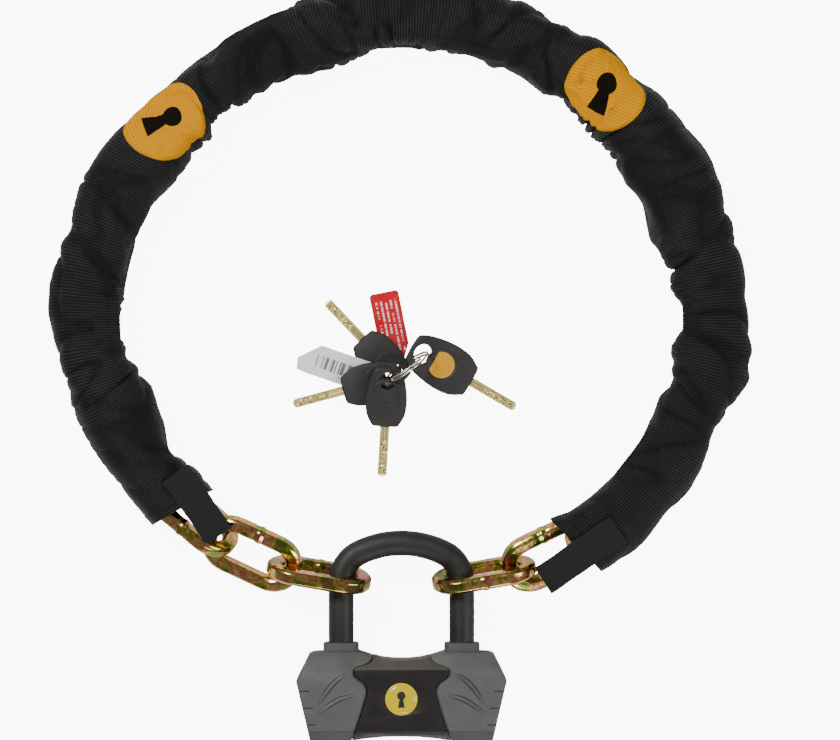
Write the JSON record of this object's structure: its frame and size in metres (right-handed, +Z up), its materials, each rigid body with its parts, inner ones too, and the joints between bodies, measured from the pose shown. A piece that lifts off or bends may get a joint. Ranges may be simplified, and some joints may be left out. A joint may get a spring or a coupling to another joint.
{
  "type": "chain lock",
  "caption": "Square-link chain in a ribbed fabric sleeve, closed into a loop by a two-leg shackle lock with grey grips; keys on a split ring lie inside.",
  "frame": {"origin": "centre of the object's box at the height it rests on, inside the chain loop a little nearer its far end than the lock", "axes": "+Z up from the flat back the lock lies on, towards its badge; +Y from the lock to the far end of the loop; +X to the right seen from above"},
  "size_m": [0.4258, 0.4684, 0.0434],
  "materials": {
    "plated_steel": "iridescent zinc plate, semi-gloss",
    "sleeve_fabric": "ribbed woven nylon, matte",
    "strap_webbing": "woven webbing, matte",
    "rod_coating": "smooth black coating, satin",
    "grip_grey": "moulded grey plastic, satin",
    "panel_dark": "moulded dark plastic, satin",
    "badge_yellow": "glossy yellow",
    "inner_steel": "machined steel",
    "key_brass": "pale plated brass, dimpled",
    "bow_plastic": "moulded black plastic, satin",
    "ring_chrome": "bright",
    "tag_red": "red laminated card",
    "tag_white": "white laminated card"
  },
  "bodies": {
    "casing": {"lock_block": "inner_steel", "left_end_cover": "grip_grey", "right_end_cover": "grip_grey", "centre_cover": "panel_dark", "badge": "badge_yellow", "cylinder_housing": "inner_steel"},
    "cylinder": {"cylinder_plug": "key_brass", "cam": "inner_steel"},
    "bolt_left": {"bolt_left": "inner_steel"},
    "bolt_right": {"bolt_right": "inner_steel"},
    "shackle": {"shackle": "rod_coating"},
    "end_links": {"link_left_01": "plated_steel", "link_right_01": "plated_steel"},
    "chain_lower": {"link_left_02": "plated_steel", "link_right_02": "plated_steel", "link_left_03": "plated_steel", "link_right_03": "plated_steel", "link_left_04": "plated_steel", "link_right_04": "plated_steel", "sleeve_left_lower": "sleeve_fabric", "sleeve_right_lower": "sleeve_fabric", "strap_left": "strap_webbing", "strap_right": "strap_webbing"},
    "chain_middle": {"link_left_05": "plated_steel", "link_right_05": "plated_steel", "link_left_06": "plated_steel", "link_right_06": "plated_steel", "link_left_07": "plated_steel", "link_right_07": "plated_steel", "link_left_08": "plated_steel", "link_right_08": "plated_steel", "sleeve_left_middle": "sleeve_fabric", "sleeve_right_middle": "sleeve_fabric"},
    "chain_far": {"link_left_09": "plated_steel", "link_right_09": "plated_steel", "link_left_10": "plated_steel", "link_right_10": "plated_steel", "link_left_11": "plated_steel", "link_right_11": "plated_steel", "link_left_12": "plated_steel", "link_right_12": "plated_steel", "link_far": "plated_steel", "sleeve_far": "sleeve_fabric"},
    "key_ring": {"key_ring": "ring_chrome"},
    "key_a": {"key_a_bow": "bow_plastic", "key_a_blade": "key_brass"},
    "key_b": {"key_b_bow": "bow_plastic", "key_b_blade": "key_brass"},
    "key_c": {"key_c_bow": "bow_plastic", "key_c_blade": "key_brass"},
    "key_d": {"key_d_bow": "bow_plastic", "key_d_blade": "key_brass", "key_d_insert": "badge_yellow"},
    "tag_red": {"tag_red": "tag_red"},
    "tag_white": {"tag_white": "tag_white"}
  },
  "joints": [
    {"name": "shackle_slide", "type": "slide", "parent": "casing", "child": "shackle", "axis": [0, 1, 0], "range_m": [0, 0.045]},
    {"name": "end_links_slide", "type": "slide", "parent": "shackle", "child": "end_links", "axis": [0, -1, 0], "range_m": [0, 0.024]},
    {"name": "chain_lift", "type": "hinge", "parent": "end_links", "child": "chain_lower", "pos_m": [0, -0.12713, 0.02025], "axis": [1, 0, 0], "range_deg": [0, 7]},
    {"name": "chain_fold_near", "type": "hinge", "parent": "chain_lower", "child": "chain_middle", "pos_m": [0, -0.04556, 0.0195], "axis": [1, 0, 0], "range_deg": [0, 30]},
    {"name": "chain_fold_far", "type": "hinge", "parent": "chain_middle", "child": "chain_far", "pos_m": [0, 0.1197, 0.0195], "axis": [1, 0, 0], "range_deg": [0, 27]},
    {"name": "cylinder_turn", "type": "hinge", "parent": "casing", "child": "cylinder", "pos_m": [0, -0.1971, 0.021], "axis": [0, 1, 0], "range_deg": [0, 90]},
    {"name": "bolt_left_slide", "type": "slide", "parent": "casing", "child": "bolt_left", "axis": [-1, 0, 0], "range_m": [0, 0.0032]},
    {"name": "bolt_right_slide", "type": "slide", "parent": "casing", "child": "bolt_right", "axis": [1, 0, 0], "range_m": [0, 0.0032]},
    {"name": "keys_lift", "type": "slide", "parent": "casing", "child": "key_ring", "axis": [0, 0, 1], "range_m": [0, 0.1]},
    {"name": "key_a_swing", "type": "hinge", "parent": "key_ring", "child": "key_a", "pos_m": [-0.0047, -0.007, 0.0049], "axis": [0, 0, 1], "range_deg": [-10, 10]},
    {"name": "key_b_swing", "type": "hinge", "parent": "key_ring", "child": "key_b", "pos_m": [-0.0083, -0.0107, 0.0107], "axis": [0, 0, 1], "range_deg": [-10, 10]},
    {"name": "key_c_swing", "type": "hinge", "parent": "key_ring", "child": "key_c", "pos_m": [-0.0086, -0.0115, 0.019], "axis": [-0.0137, -0.2245, 0.9744], "range_deg": [-10, 10]},
    {"name": "key_d_swing", "type": "hinge", "parent": "key_ring", "child": "key_d", "pos_m": [0.0129, 0.0048, 0.0104], "axis": [0.0829, -0.0481, 0.9954], "range_deg": [-10, 10]},
    {"name": "tag_red_swing", "type": "hinge", "parent": "key_ring", "child": "tag_red", "pos_m": [-0.0018, -0.004, 0.0021], "axis": [0, 0, 1], "range_deg": [-6, 6]},
    {"name": "tag_white_swing", "type": "hinge", "parent": "key_ring", "child": "tag_white", "pos_m": [-0.0079, -0.0096, 0.0078], "axis": [0, 0, 1], "range_deg": [-6, 6]}
  ],
  "couplings": [
    {"joint": "bolt_left_slide", "follows": "cylinder_turn", "m_per_rad": 0.002037},
    {"joint": "bolt_right_slide", "follows": "cylinder_turn", "m_per_rad": 0.002037}
  ]
}
